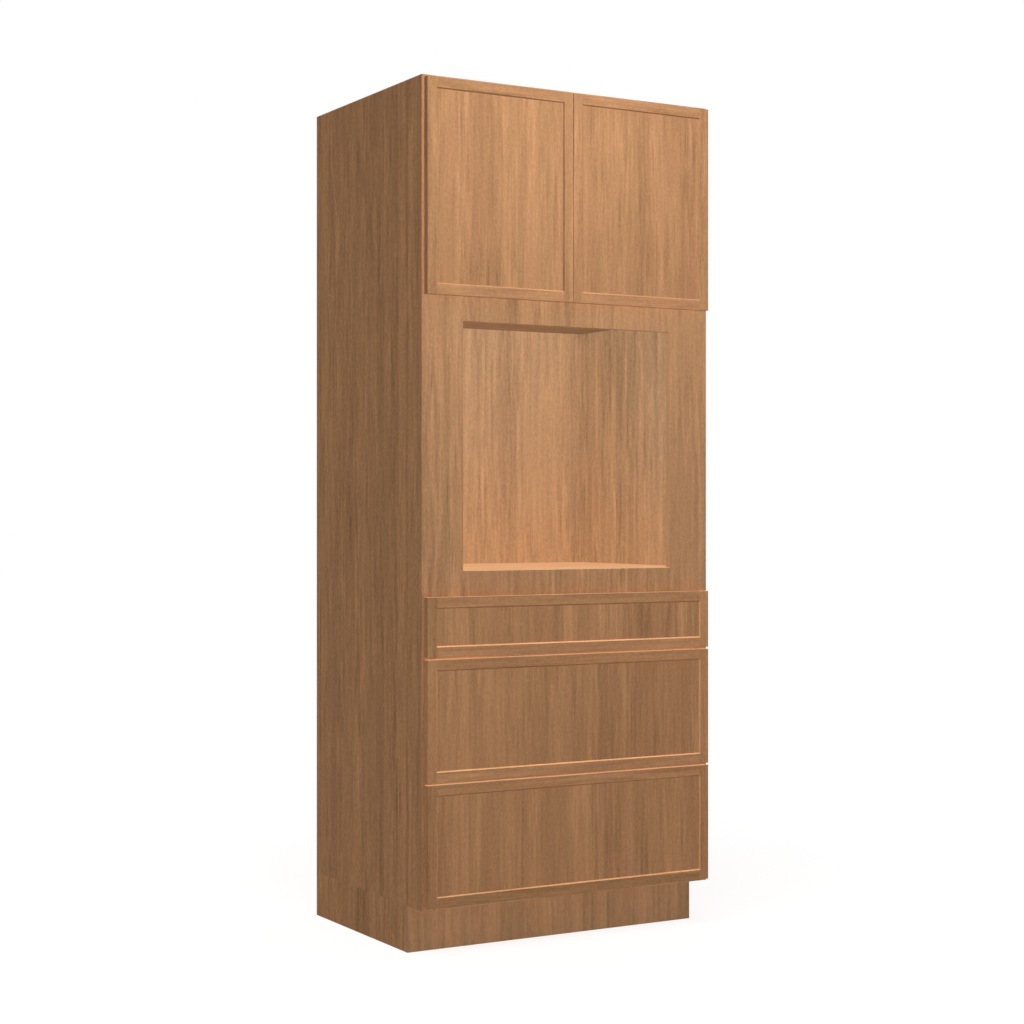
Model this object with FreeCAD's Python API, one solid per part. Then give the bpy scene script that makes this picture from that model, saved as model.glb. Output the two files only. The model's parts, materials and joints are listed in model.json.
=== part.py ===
import FreeCAD, Part
import os

from FreeCAD import Vector

# Tall oven housing unit with a face frame, two doors, an oven cut-out, three drawers and a plinth.
# Millimetres. The origin is on the floor under the middle of the outer box, the front faces -Y.

os.makedirs("parts", exist_ok=True)

# ---------------------------------------------------------------- driving dimensions

# Carcass
cabinet_width = 838.2
cabinet_height = 2133.6
cabinet_depth = 609.6            # face frame included, doors and drawer fronts not
side_thickness = 12.7
back_thickness = 12.7
top_thickness = 12.7
bottom_deck_thickness = 12.7
oven_deck_thickness = 19.05
cupboard_deck_thickness = 19.05
oven_deck_height = 933.45        # floor to the top of the deck that carries the oven
cavity_height = 654.05           # oven deck to the ceiling of the oven cavity
cleat_height = 38.1
cleat_thickness = 19.05

# Plinth
plinth_height = 114.3
plinth_recess = 76.2             # face frame to the front board
plinth_thickness = 19.05

# Face frame
frame_thickness = 19.05
frame_stile_width = 38.1
top_rail_height = 38.1
drawer_rail_height = 38.1
bottom_rail_height = 38.1
cutout_width = 609.6
cutout_height = 609.6

# Doors and drawer fronts
front_thickness = 18.0
front_gap = 1.0                  # face frame to the back of a closed front
side_reveal = 6.35
top_reveal = 6.35
bottom_reveal = 6.35
door_meeting_gap = 3.0
drawer_front_gap = 4.8
top_front_height = 146.0
middle_front_height = 297.7      # the bottom front fills the rest of the height, down to the plinth
top_front_below_deck = 61.8      # top of the top drawer front under the top of the oven deck
door_below_deck = 4.05           # bottom of the doors under the top of the cupboard deck
door_bottom_overlap = 12.7       # how far the doors lap over the oven front panel
top_drawer_overlap = 12.7        # how far the top drawer front laps over the oven front panel
front_frame_flat = 25.0
front_bevel_width = 3.0
panel_recess = 3.0
panel_tongue_depth = 7.0
panel_tongue_thickness = 6.0
bumper_radius = 4.0
bumper_inset = 20.0              # bumper centre from the edge of a front

# Cupboard shelf and its pins
shelf_height = 250.0             # cupboard deck to the underside of the shelf
shelf_thickness = 15.9
shelf_front_setback = 20.0
shelf_back_clearance = 1.0
shelf_side_clearance = 1.5
shelf_pin_radius = 2.5
shelf_pin_depth = 9.0
shelf_pin_end_clearance = 1.0    # end of the pin to the bottom of its hole
shelf_pin_clearance = 0.05
shelf_pin_inset = 50.0           # pin centre from the front and back edges of the shelf
shelf_pin_head_width = 10.0
shelf_pin_head_height = 6.0
shelf_pin_head_reach = 7.0
shelf_hole_pitch = 32.0
shelf_hole_rows_each_way = 2

# Drawer boxes
box_back_clearance = 51.8        # back of a box to the back panel
box_side_thickness = 15.9
box_end_thickness = 15.9
box_bottom_thickness = 9.5
box_bottom_rise = 12.7           # underside of the box to the underside of its bottom panel
box_groove_depth = 6.35
box_bottom_clearance = 10.0      # frame opening to the underside of the box
box_top_clearance = 13.0         # top of the box to the frame opening

# Drawer slides, side mounted, three members each
slide_width = 12.7
slide_height = 45.0
slide_back_clearance = 35.1      # back of a slide to the back panel
slide_sheet = 1.5
slide_running_gap = 0.3
slide_lip_gap = 2.2              # edge of the outer member to the drawer side
slide_setback = 3.0              # front of the slide behind the face of the frame
slide_rise = 35.0                # underside of the box to the middle of the slide
packer_height = 60.0

# Hinges, placed from the inner edge of the face frame and from the back of the door
hinge_inset = 90.0               # hinge centre from the top and bottom of the door
hinge_cup_radius = 17.5
hinge_cup_depth = 11.5
hinge_cup_wall = 1.0
hinge_cup_clearance = 0.1
hinge_cup_offset = 9.25          # cup centre outside the inner edge of the frame
hinge_flange_width = 14.0
hinge_flange_length = 52.0
hinge_flange_thickness = 1.0
hinge_cup_pivot_offset = 22.25   # outside the inner edge of the frame
hinge_cup_pivot_depth = 4.0      # in front of the back of the door
hinge_elbow_offset = 16.45
hinge_elbow_depth = 7.9
hinge_arm_pivot_inset = 2.75     # inside the inner edge of the frame
hinge_arm_pivot_front = 1.5      # in front of the face of the frame
hinge_pin_radius = 1.25
hinge_pin_clearance = 0.05
hinge_eye_radius = 2.6
hinge_link_height = 8.8
hinge_link_thickness = 3.0
hinge_ear_gap = 0.3
hinge_ear_thickness = 1.5
hinge_ear_back = 9.0             # how far the ears reach behind the face of the frame
hinge_plate_thickness = 1.5
hinge_plate_front = 3.0
hinge_plate_back = 17.0
hinge_plate_length = 48.0
hinge_screw_spacing = 32.0
hinge_screw_radius = 2.0
hinge_screw_length = 14.0
hinge_screw_clearance = 0.05
hinge_screw_head_radius = 3.5
hinge_screw_head_height = 1.8

# ---------------------------------------------------------------- derived dimensions

overall_depth = cabinet_depth + front_gap + front_thickness
half_width = cabinet_width / 2
half_inside = half_width - side_thickness
half_opening = half_width - frame_stile_width

# Depth, front to back
front_face_y = -overall_depth / 2
front_back_y = front_face_y + front_thickness
frame_front_y = front_back_y + front_gap
frame_back_y = frame_front_y + frame_thickness
back_y = frame_front_y + cabinet_depth
back_inside_y = back_y - back_thickness
plinth_front_y = frame_front_y + plinth_recess

# Heights of the decks
cutout_low = oven_deck_height
cutout_high = cutout_low + cutout_height
cupboard_deck_low = oven_deck_height + cavity_height
cupboard_deck_high = cupboard_deck_low + cupboard_deck_thickness
top_inside = cabinet_height - top_thickness
bottom_deck_high = plinth_height + bottom_deck_thickness

# Heights of the fronts, the doors reaching from below the cupboard deck to under the top edge
door_top = cabinet_height - top_reveal
door_height = door_top - cupboard_deck_high + door_below_deck
door_bottom = door_top - door_height
top_front_high = oven_deck_height - top_front_below_deck
top_front_low = top_front_high - top_front_height
middle_front_high = top_front_low - drawer_front_gap
middle_front_low = middle_front_high - middle_front_height
bottom_front_low = plinth_height + bottom_reveal
bottom_front_height = middle_front_low - drawer_front_gap - bottom_front_low
bottom_front_high = bottom_front_low + bottom_front_height

# Heights of the frame
frame_low = plinth_height
lower_drawer_rail_low = (bottom_front_high + middle_front_low - drawer_rail_height) / 2
upper_drawer_rail_low = (middle_front_high + top_front_low - drawer_rail_height) / 2
oven_panel_low = top_front_high - top_drawer_overlap
oven_panel_high = door_bottom + door_bottom_overlap
top_rail_low = cabinet_height - top_rail_height

# Shelf
shelf_low = cupboard_deck_high + shelf_height
shelf_high = shelf_low + shelf_thickness
shelf_front_y = frame_back_y + shelf_front_setback
shelf_back_y = back_inside_y - shelf_back_clearance
shelf_pin_columns = (shelf_front_y + shelf_pin_inset, shelf_back_y - shelf_pin_inset)
shelf_pin_z = shelf_low - shelf_pin_head_height / 2
shelf_pin_hole_depth = shelf_pin_depth + shelf_pin_end_clearance

# Doors, left one given, the right one is its mirror image
door_outer_x = -half_width + side_reveal
door_inner_x = -door_meeting_gap / 2
drawer_front_half = half_width - side_reveal

# Hinges of the left door
frame_edge_x = -half_opening
hinge_cup_x = frame_edge_x - hinge_cup_offset
hinge_cup_bottom_y = front_back_y - hinge_cup_depth
cup_pivot = Vector(frame_edge_x - hinge_cup_pivot_offset, front_back_y - hinge_cup_pivot_depth, 0)
elbow = Vector(frame_edge_x - hinge_elbow_offset, front_back_y - hinge_elbow_depth, 0)
arm_pivot = Vector(frame_edge_x + hinge_arm_pivot_inset, frame_front_y - hinge_arm_pivot_front, 0)
hinge_heights = (door_bottom + hinge_inset, door_top - hinge_inset)
hinge_ear_low = hinge_link_height / 2 + hinge_ear_gap
hinge_ear_high = hinge_ear_low + hinge_ear_thickness
hinge_screw_y = frame_front_y + (hinge_ear_back + hinge_plate_back) / 2

# Drawer boxes and slides
box_half = half_opening - slide_width
box_inside_half = box_half - box_side_thickness
box_length = back_inside_y - box_back_clearance - front_back_y
box_back_y = front_back_y + box_length
slide_front_y = frame_front_y + slide_setback
slide_length = back_inside_y - slide_back_clearance - slide_front_y
slide_back_y = slide_front_y + slide_length
mid_height = slide_height - 2 * slide_sheet - 2 * slide_running_gap
inner_height = mid_height - 2 * slide_sheet - 2 * slide_running_gap


# ---------------------------------------------------------------- helpers

def box(x0, x1, y0, y1, z0, z1):
    """Block between two corners."""
    return Part.makeBox(x1 - x0, y1 - y0, z1 - z0, Vector(x0, y0, z0))


def upright(centre, radius, z0, z1):
    """Round bar along Z."""
    return Part.makeCylinder(radius, z1 - z0, Vector(centre.x, centre.y, z0))


def flat_bar(start, end, width, z0, z1):
    """Straight bar of a linkage, seen from above between two points."""
    along = (end - start).normalize()
    aside = Vector(-along.y, along.x, 0) * (width / 2)
    corners = [start + aside, start - aside, end - aside, end + aside]
    outline = Part.makePolygon([corner + Vector(0, 0, z0) for corner in corners + corners[:1]])
    return Part.Face(outline).extrude(Vector(0, 0, z1 - z0))


def mirrored(shape):
    """The same shape on the other side of the cabinet's middle plane."""
    return shape.mirror(Vector(0, 0, 0), Vector(1, 0, 0))


def both(shape):
    """A left shape and its mirror image on the right."""
    return [shape, mirrored(shape)]


def save(node, shapes):
    """Write one node, of one solid or of a group of separate solids."""
    solids = [solid for shape in shapes for solid in shape.Solids]
    result = solids[0] if len(solids) == 1 else Part.makeCompound(solids)
    result.exportStep("parts/" + node + ".step")


# ---------------------------------------------------------------- carcass and plinth

def shelf_pin_hole(y, z):
    """Blind hole in the inner face of the left side panel."""
    radius = shelf_pin_radius + shelf_pin_clearance
    return Part.makeCylinder(radius, shelf_pin_hole_depth, Vector(-half_inside, y, z), Vector(-1, 0, 0))


def shelf_pin(y):
    """Left pin: a peg in the side panel and a flat head that the shelf lies on."""
    peg = Part.makeCylinder(shelf_pin_radius, shelf_pin_depth, Vector(-half_inside, y, shelf_pin_z),
                            Vector(-1, 0, 0))
    head = box(-half_inside, -half_inside + shelf_pin_head_reach,
               y - shelf_pin_head_width / 2, y + shelf_pin_head_width / 2,
               shelf_low - shelf_pin_head_height, shelf_low)
    return peg.fuse(head)


def save_carcass():
    """Sides, top, decks, back, cleats and the cupboard shelf."""
    rows = range(-shelf_hole_rows_each_way, shelf_hole_rows_each_way + 1)
    holes = [shelf_pin_hole(y, shelf_pin_z + row * shelf_hole_pitch)
             for y in shelf_pin_columns for row in rows]
    side = box(-half_width, -half_inside, frame_back_y, back_y, plinth_height, cabinet_height).cut(holes)
    save("side_panel_left", [side])
    save("side_panel_right", [mirrored(side)])

    save("top_panel", [box(-half_inside, half_inside, frame_back_y, back_inside_y,
                           top_inside, cabinet_height)])
    save("cupboard_deck", [box(-half_inside, half_inside, frame_back_y, back_inside_y,
                               cupboard_deck_low, cupboard_deck_high)])
    save("oven_deck", [box(-half_inside, half_inside, frame_back_y, back_inside_y,
                           oven_deck_height - oven_deck_thickness, oven_deck_height)])
    save("bottom_deck", [box(-half_inside, half_inside, frame_back_y, back_inside_y,
                             plinth_height, bottom_deck_high)])
    save("back_panel", [box(-half_inside, half_inside, back_inside_y, back_y,
                            plinth_height, cabinet_height)])

    cleat_high = oven_deck_height - oven_deck_thickness
    cleat = box(-half_inside, -half_inside + cleat_thickness, frame_back_y, back_inside_y,
                cleat_high - cleat_height, cleat_high)
    save("oven_deck_cleats", both(cleat))

    half_shelf = half_inside - shelf_side_clearance
    save("cupboard_shelf", [box(-half_shelf, half_shelf, shelf_front_y, shelf_back_y, shelf_low, shelf_high)])
    save("shelf_pins", [pin for y in shelf_pin_columns for pin in both(shelf_pin(y))])


def save_plinth():
    """Separate base under the carcass, flush with its sides and back."""
    board_back_y = plinth_front_y + plinth_thickness
    inner_x = half_width - plinth_thickness
    save("plinth_front", [box(-half_width, half_width, plinth_front_y, board_back_y, 0, plinth_height)])
    save("plinth_sides", both(box(-half_width, -inner_x, board_back_y, back_y, 0, plinth_height)))
    save("plinth_back", [box(-inner_x, inner_x, back_y - plinth_thickness, back_y, 0, plinth_height)])


# ---------------------------------------------------------------- face frame

def frame_piece(x0, x1, z0, z1):
    """Board in the plane of the face frame."""
    return box(x0, x1, frame_front_y, frame_back_y, z0, z1)


def hinge_screw_points():
    """Where the screws enter the inner edge of the left stile."""
    half_spacing = hinge_screw_spacing / 2
    return [Vector(frame_edge_x, hinge_screw_y, z + offset)
            for z in hinge_heights for offset in (-half_spacing, half_spacing)]


def save_face_frame():
    """Stiles, rails, oven front panel and the bumpers that the fronts close against."""
    pilots = [Part.makeCylinder(hinge_screw_radius + hinge_screw_clearance, hinge_screw_length, point,
                                Vector(-1, 0, 0)) for point in hinge_screw_points()]
    stile = frame_piece(-half_width, -half_opening, frame_low, cabinet_height).cut(pilots)
    save("frame_stile_left", [stile])
    save("frame_stile_right", [mirrored(stile)])

    save("frame_top_rail", [frame_piece(-half_opening, half_opening, top_rail_low, cabinet_height)])
    save("frame_bottom_rail", [frame_piece(-half_opening, half_opening, frame_low,
                                           frame_low + bottom_rail_height)])
    save("frame_drawer_rails", [frame_piece(-half_opening, half_opening, low, low + drawer_rail_height)
                                for low in (lower_drawer_rail_low, upper_drawer_rail_low)])

    cutout = frame_piece(-cutout_width / 2, cutout_width / 2, cutout_low, cutout_high)
    save("oven_front_panel", [frame_piece(-half_opening, half_opening,
                                          oven_panel_low, oven_panel_high).cut(cutout)])

    stile_middle = half_width - frame_stile_width / 2
    spots = [(door_inner_x - bumper_inset, cabinet_height - top_rail_height / 2),
             (door_inner_x - bumper_inset, door_bottom + door_bottom_overlap / 2)]
    spots += [(-stile_middle, high - bumper_inset)
              for high in (bottom_front_high, middle_front_high, top_front_high)]
    bumpers = [Part.makeCylinder(bumper_radius, front_gap, Vector(x, front_back_y, z), Vector(0, 1, 0))
               for x, z in spots]
    save("front_bumpers", [bumper for left in bumpers for bumper in both(left)])


# ---------------------------------------------------------------- doors and drawer fronts

def framed_front(x0, x1, z0, z1):
    """Stiles, rails and panel of one front, the panel held in a groove round the frame."""
    member = front_frame_flat + front_bevel_width
    groove = member - panel_tongue_depth
    panel_y = front_face_y + panel_recess
    tongue_y = (panel_y + front_back_y - panel_tongue_thickness) / 2
    bevel = Part.makeWedge(x0 + front_frame_flat, front_face_y, z0 + front_frame_flat,
                           z0 + member, x0 + member,
                           x1 - front_frame_flat, panel_y, z1 - front_frame_flat,
                           z1 - member, x1 - member)
    field = box(x0 + member, x1 - member, panel_y, front_back_y, z0 + member, z1 - member)
    tongue = box(x0 + groove, x1 - groove, tongue_y, tongue_y + panel_tongue_thickness,
                 z0 + groove, z1 - groove)
    panel = field.fuse(tongue)
    frame = box(x0, x1, front_face_y, front_back_y, z0, z1).cut([bevel, panel])
    between_stiles = box(x0 + member, x1 - member, front_face_y, front_back_y, z0, z1)
    return frame.cut(between_stiles), frame.common(between_stiles), panel


def hinge_cup_outline(extra):
    """Outside of a cup and its flange at height 0, made larger all round to be the recess for it."""
    bowl = Part.makeCylinder(hinge_cup_radius + extra, hinge_cup_depth,
                             Vector(hinge_cup_x, hinge_cup_bottom_y, 0), Vector(0, 1, 0))
    half_flange = hinge_flange_width / 2 + extra
    half_length = hinge_flange_length / 2 + extra
    flange = box(hinge_cup_x - half_flange, hinge_cup_x + half_flange,
                 front_back_y - hinge_flange_thickness, front_back_y, -half_length, half_length)
    return bowl.fuse(flange)


def hinge_cup(z):
    """Steel cup with its pivot pin across the bowl."""
    inside_radius = hinge_cup_radius - hinge_cup_wall
    inside = Part.makeCylinder(inside_radius, hinge_cup_depth,
                               Vector(hinge_cup_x, hinge_cup_bottom_y + hinge_cup_wall, 0), Vector(0, 1, 0))
    pin_far_side = hinge_cup_x - cup_pivot.x + hinge_pin_radius
    mid_wall_radius = hinge_cup_radius - hinge_cup_wall / 2
    half_chord = (mid_wall_radius ** 2 - pin_far_side ** 2) ** 0.5
    pin = upright(cup_pivot, hinge_pin_radius, -half_chord, half_chord)
    cup = hinge_cup_outline(0).cut(inside).fuse(pin)
    cup.translate(Vector(0, 0, z))
    return cup


def hinge_link(z):
    """Bent arm between the pin in the cup and the pin on the plate."""
    low = z - hinge_link_height / 2
    high = z + hinge_link_height / 2
    link = flat_bar(cup_pivot, elbow, hinge_link_thickness, low, high)
    link = link.fuse([flat_bar(elbow, arm_pivot, hinge_link_thickness, low, high),
                      upright(elbow, hinge_link_thickness / 2, low, high),
                      upright(cup_pivot, hinge_eye_radius, low, high),
                      upright(arm_pivot, hinge_eye_radius, low, high)])
    hole_radius = hinge_pin_radius + hinge_pin_clearance
    return link.cut([upright(cup_pivot, hole_radius, low, high), upright(arm_pivot, hole_radius, low, high)])


def hinge_plate(z):
    """Plate on the inner edge of the stile, with two ears and the pin for the arm."""
    plate = box(frame_edge_x, frame_edge_x + hinge_plate_thickness,
                frame_front_y + hinge_plate_front, frame_front_y + hinge_plate_back,
                z - hinge_plate_length / 2, z + hinge_plate_length / 2)
    pieces = [upright(arm_pivot, hinge_pin_radius, z - hinge_ear_high, z + hinge_ear_high)]
    for low, high in ((z - hinge_ear_high, z - hinge_ear_low), (z + hinge_ear_low, z + hinge_ear_high)):
        pieces.append(upright(arm_pivot, hinge_eye_radius, low, high))
        pieces.append(box(frame_edge_x, arm_pivot.x + hinge_eye_radius,
                          frame_front_y + hinge_plate_front, frame_front_y + hinge_ear_back, low, high))
        pieces.append(box(arm_pivot.x - hinge_eye_radius, arm_pivot.x + hinge_eye_radius,
                          arm_pivot.y, frame_front_y + hinge_plate_front, low, high))
    holes = [Part.makeCylinder(hinge_screw_radius + hinge_screw_clearance, hinge_plate_thickness, point,
                               Vector(1, 0, 0)) for point in hinge_screw_points()]
    return plate.fuse(pieces).cut(holes)


def hinge_screw(point):
    """Screw through a hinge plate into the stile."""
    head_base = point + Vector(hinge_plate_thickness, 0, 0)
    shank = Part.makeCylinder(hinge_screw_radius, hinge_screw_length + hinge_plate_thickness,
                              head_base, Vector(-1, 0, 0))
    head = Part.makeCylinder(hinge_screw_head_radius, hinge_screw_head_height, head_base, Vector(1, 0, 0))
    return shank.fuse(head)


def save_doors():
    """Left door with its hinges, and the right door as its mirror image."""
    recesses = []
    for z in hinge_heights:
        recess = hinge_cup_outline(hinge_cup_clearance)
        recess.translate(Vector(0, 0, z))
        recesses.append(recess)
    stiles, rails, panel = framed_front(door_outer_x, door_inner_x, door_bottom, door_top)
    left_door = {
        "stiles": [stiles.cut(recesses)],
        "rails": [rails],
        "panel": [panel.cut(recesses)],
        "hinge_cups": [hinge_cup(z) for z in hinge_heights],
        "hinge_links": [hinge_link(z) for z in hinge_heights],
    }
    for piece, shapes in left_door.items():
        save("left_door_" + piece, shapes)
        save("right_door_" + piece, [mirrored(shape) for shape in shapes])
    save("hinge_plates", [shape for z in hinge_heights for shape in both(hinge_plate(z))])
    save("hinge_screws", [shape for point in hinge_screw_points() for shape in both(hinge_screw(point))])


# ---------------------------------------------------------------- drawers

def slide_x(depth):
    """Place across the left slide, counted from the packer towards the drawer."""
    return -half_opening + depth


def channel(web, lip, height, z):
    """Left slide member: a web between two depths, with lips above and below that reach to a depth."""
    low = z - height / 2
    high = z + height / 2
    near = slide_x(min(web + (lip,)))
    far = slide_x(max(web + (lip,)))
    blank = box(near, far, slide_front_y, slide_back_y, low, high)
    if lip > web[1]:
        hollow = (slide_x(web[1]), far)
    else:
        hollow = (near, slide_x(web[0]))
    return blank.cut(box(hollow[0], hollow[1], slide_front_y, slide_back_y,
                         low + slide_sheet, high - slide_sheet))


def save_slides(name, z):
    """Outer, middle and inner members of one drawer's two slides, and the packers behind them."""
    mid_web = slide_sheet + slide_running_gap
    inner_web = slide_width - slide_sheet
    outer = channel((0, slide_sheet), slide_width - slide_lip_gap, slide_height, z)
    middle = channel((mid_web, mid_web + slide_sheet), inner_web - slide_running_gap, mid_height, z)
    inner = channel((inner_web, slide_width), mid_web + slide_sheet + slide_running_gap, inner_height, z)
    save(name + "_slide_outer", both(outer))
    save(name + "_slide_middle", both(middle))
    save(name + "_slide_inner", both(inner))
    return both(box(-half_inside, -half_opening, frame_back_y, back_inside_y,
                    z - packer_height / 2, z + packer_height / 2))


def save_drawer(name, front_low, front_high, opening_low, opening_high):
    """One drawer: framed front, box and slides. Gives back the packers, which belong to the carcass."""
    stiles, rails, panel = framed_front(-drawer_front_half, drawer_front_half, front_low, front_high)
    save(name + "_front_stiles", [stiles])
    save(name + "_front_rails", [rails])
    save(name + "_front_panel", [panel])

    low = opening_low + box_bottom_clearance
    high = opening_high - box_top_clearance
    bottom_low = low + box_bottom_rise
    bottom_half = box_inside_half + box_groove_depth
    bottom = box(-bottom_half, bottom_half,
                 front_back_y + box_end_thickness - box_groove_depth,
                 box_back_y - box_end_thickness + box_groove_depth,
                 bottom_low, bottom_low + box_bottom_thickness)
    side = box(-box_half, -box_inside_half, front_back_y, box_back_y, low, high)
    ends = [box(-box_inside_half, box_inside_half, front_back_y, front_back_y + box_end_thickness, low, high),
            box(-box_inside_half, box_inside_half, box_back_y - box_end_thickness, box_back_y, low, high)]
    save(name + "_box_sides", [shape.cut(bottom) for shape in both(side)])
    save(name + "_box_ends", [shape.cut(bottom) for shape in ends])
    save(name + "_box_bottom", [bottom])
    return save_slides(name, low + slide_rise)


def save_drawers():
    """Bottom, middle and top drawer, from the frame openings they close."""
    lower_rail_high = lower_drawer_rail_low + drawer_rail_height
    upper_rail_high = upper_drawer_rail_low + drawer_rail_height
    packers = save_drawer("bottom_drawer", bottom_front_low, bottom_front_high,
                          frame_low + bottom_rail_height, lower_drawer_rail_low)
    packers += save_drawer("middle_drawer", middle_front_low, middle_front_high,
                           lower_rail_high, upper_drawer_rail_low)
    packers += save_drawer("top_drawer", top_front_low, top_front_high,
                           upper_rail_high, oven_panel_low)
    save("slide_packers", packers)


save_carcass()
save_plinth()
save_face_frame()
save_doors()
save_drawers()
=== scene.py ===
"""Looks of a tall oven housing unit: oak boards with eased edges, birch drawer boxes, fittings and a studio.

Each board is a copy of its solid with its free edges eased. Screw heads, bumpers and release levers,
which the solids leave out or keep plain, are modelled here. Lengths are metres.
"""

import inspect
import json
import math
from typing import NamedTuple

import bmesh
import bpy
from bpy.props import FloatProperty, FloatVectorProperty, IntProperty, PointerProperty
from mathutils import Matrix, Vector

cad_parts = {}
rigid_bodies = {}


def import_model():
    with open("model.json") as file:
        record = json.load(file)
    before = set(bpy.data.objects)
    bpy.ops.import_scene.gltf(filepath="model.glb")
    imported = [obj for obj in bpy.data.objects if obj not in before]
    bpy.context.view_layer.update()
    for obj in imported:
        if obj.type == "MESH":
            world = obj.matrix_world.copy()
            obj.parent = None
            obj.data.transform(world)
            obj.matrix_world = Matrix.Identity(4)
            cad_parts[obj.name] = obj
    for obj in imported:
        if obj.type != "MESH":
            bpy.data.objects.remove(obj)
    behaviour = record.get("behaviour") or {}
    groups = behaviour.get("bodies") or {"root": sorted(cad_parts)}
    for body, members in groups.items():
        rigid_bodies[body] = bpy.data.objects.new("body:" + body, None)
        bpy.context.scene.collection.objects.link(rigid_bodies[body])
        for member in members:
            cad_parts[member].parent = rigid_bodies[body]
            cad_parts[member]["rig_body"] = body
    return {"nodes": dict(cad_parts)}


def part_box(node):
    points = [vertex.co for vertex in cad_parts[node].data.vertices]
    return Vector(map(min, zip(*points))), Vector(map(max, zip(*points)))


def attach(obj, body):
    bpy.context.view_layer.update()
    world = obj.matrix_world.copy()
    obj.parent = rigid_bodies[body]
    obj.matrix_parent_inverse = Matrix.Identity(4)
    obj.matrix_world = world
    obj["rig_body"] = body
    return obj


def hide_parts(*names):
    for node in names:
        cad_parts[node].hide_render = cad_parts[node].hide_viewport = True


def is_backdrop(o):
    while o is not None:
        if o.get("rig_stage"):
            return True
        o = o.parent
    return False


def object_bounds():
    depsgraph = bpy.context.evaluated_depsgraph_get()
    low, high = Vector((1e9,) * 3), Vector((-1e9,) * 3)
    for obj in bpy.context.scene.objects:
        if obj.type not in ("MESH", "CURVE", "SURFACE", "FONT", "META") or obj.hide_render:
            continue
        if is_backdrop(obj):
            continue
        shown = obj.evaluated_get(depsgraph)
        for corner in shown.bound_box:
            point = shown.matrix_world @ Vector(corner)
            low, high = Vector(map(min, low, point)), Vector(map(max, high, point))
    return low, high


bl_info = {
    "name": "Tall Oven Housing Unit",
    "version": (1, 0, 0),
    "blender": (4, 5, 0),
    "location": "3D View > Sidebar > Oven Housing",
    "description": "Oak finish, eased edges and fittings for a tall oven housing unit",
    "category": "Object",
}

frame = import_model()
cad_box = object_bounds()

DRAWERS = {"bottom_drawer": 40, "middle_drawer": 50, "top_drawer": 60}  # each with its first board number
DOORS = {"left_door": 20, "right_door": 30}
SIDE_BOARD = 0                    # the sides, stiles and front panel share one run of figure
BACK_BOARD = 4
DECK_BOARD = 5
SHELF_BOARD = 9
PLINTH_BOARD = 11
RAIL_BOARD = 14
CARCASS_BOARDS = ("side_panel_left", "side_panel_right", "back_panel", "frame_stile_left")
SAME_PLACE = 1e-5                 # two coordinates nearer than this are one
FLAT_ANGLE = math.radians(0.5)    # faces that meet flatter than this are one
FACE_REACH = 0.0003               # how near a point lies to a face that it belongs to
SEAM_REACH = 1.0                  # lifts a box's face clear of a seam, so that the edges there stay sharp
CUTOUT_SIDE = 0.0762              # inner edge of a stile to the side of the oven cut-out
CUTOUT_HEIGHT = 0.6096
HINGE_HEAD_HEIGHT = 0.0018
CUP_SCREW_INSET = 0.0042          # end of a hinge cup's flange to the middle of its screw
HEAD_PROFILE = ((1.0, 0.0), (1.0, 0.35), (0.93, 0.66), (0.80, 0.88), (0.62, 1.0))  # shares of radius, height
CROSS_REACH = 0.5                 # cross recess of a screw, as shares of its head's radius and height
CROSS_WIDTH = 0.13
CROSS_DEPTH = 0.6
BUMPER_PROFILE = ((1.0, 0.0), (1.0, 0.3), (0.94, 0.72), (0.8, 1.0))
FRONT_SCREW_ROWS = (0.3, 0.75)    # shares of the drawer box's height
FRONT_SCREW_COLUMNS = (0.09, 0.27)  # on either side of the middle
SLIDE_SHEET = 0.0015
SLIDE_SCREWS = (0.06, 0.35, 0.65, 0.94)  # shares of the slide's length
LEVER_START = 0.44                # share of the slide's length
LEVER_STEPS = 16
LEVER_END = 0.3                   # least width of a lever's round end, as a share of its width
FLOOR_REACH = 30
FLOOR_GREY = 0.45
FLOOR_GLOW = 0.53                 # brings the lit floor just up to white
SOFT_ANGLE = math.radians(20)     # how wide the soft lamps look from the cabinet
SHADOW_ANGLE = math.radians(50)   # how wide the floor's lamp looks, which blurs the shadow
SMALL_LAMP_RADIUS = 0.1
SENSOR_WIDTH = 36                 # millimetres


# ---------------------------------------------------------------- settings

def metres(name, text, default, least):
    """A setting that is a length."""
    return FloatProperty(name=name, description=text, default=default, min=least, unit="LENGTH")


def unitless(name, text, default, **limits):
    """A setting that is a number from nought up."""
    return FloatProperty(name=name, description=text, default=default, min=0, **limits)


def paint(name, text, default):
    """A setting that is a colour."""
    return FloatVectorProperty(
        name=name, description=text, default=default, subtype="COLOR", size=3, min=0, max=1)


def spot(name, text, default):
    """A setting that is a place."""
    return FloatVectorProperty(name=name, description=text, default=default, subtype="TRANSLATION", size=3)


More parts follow.
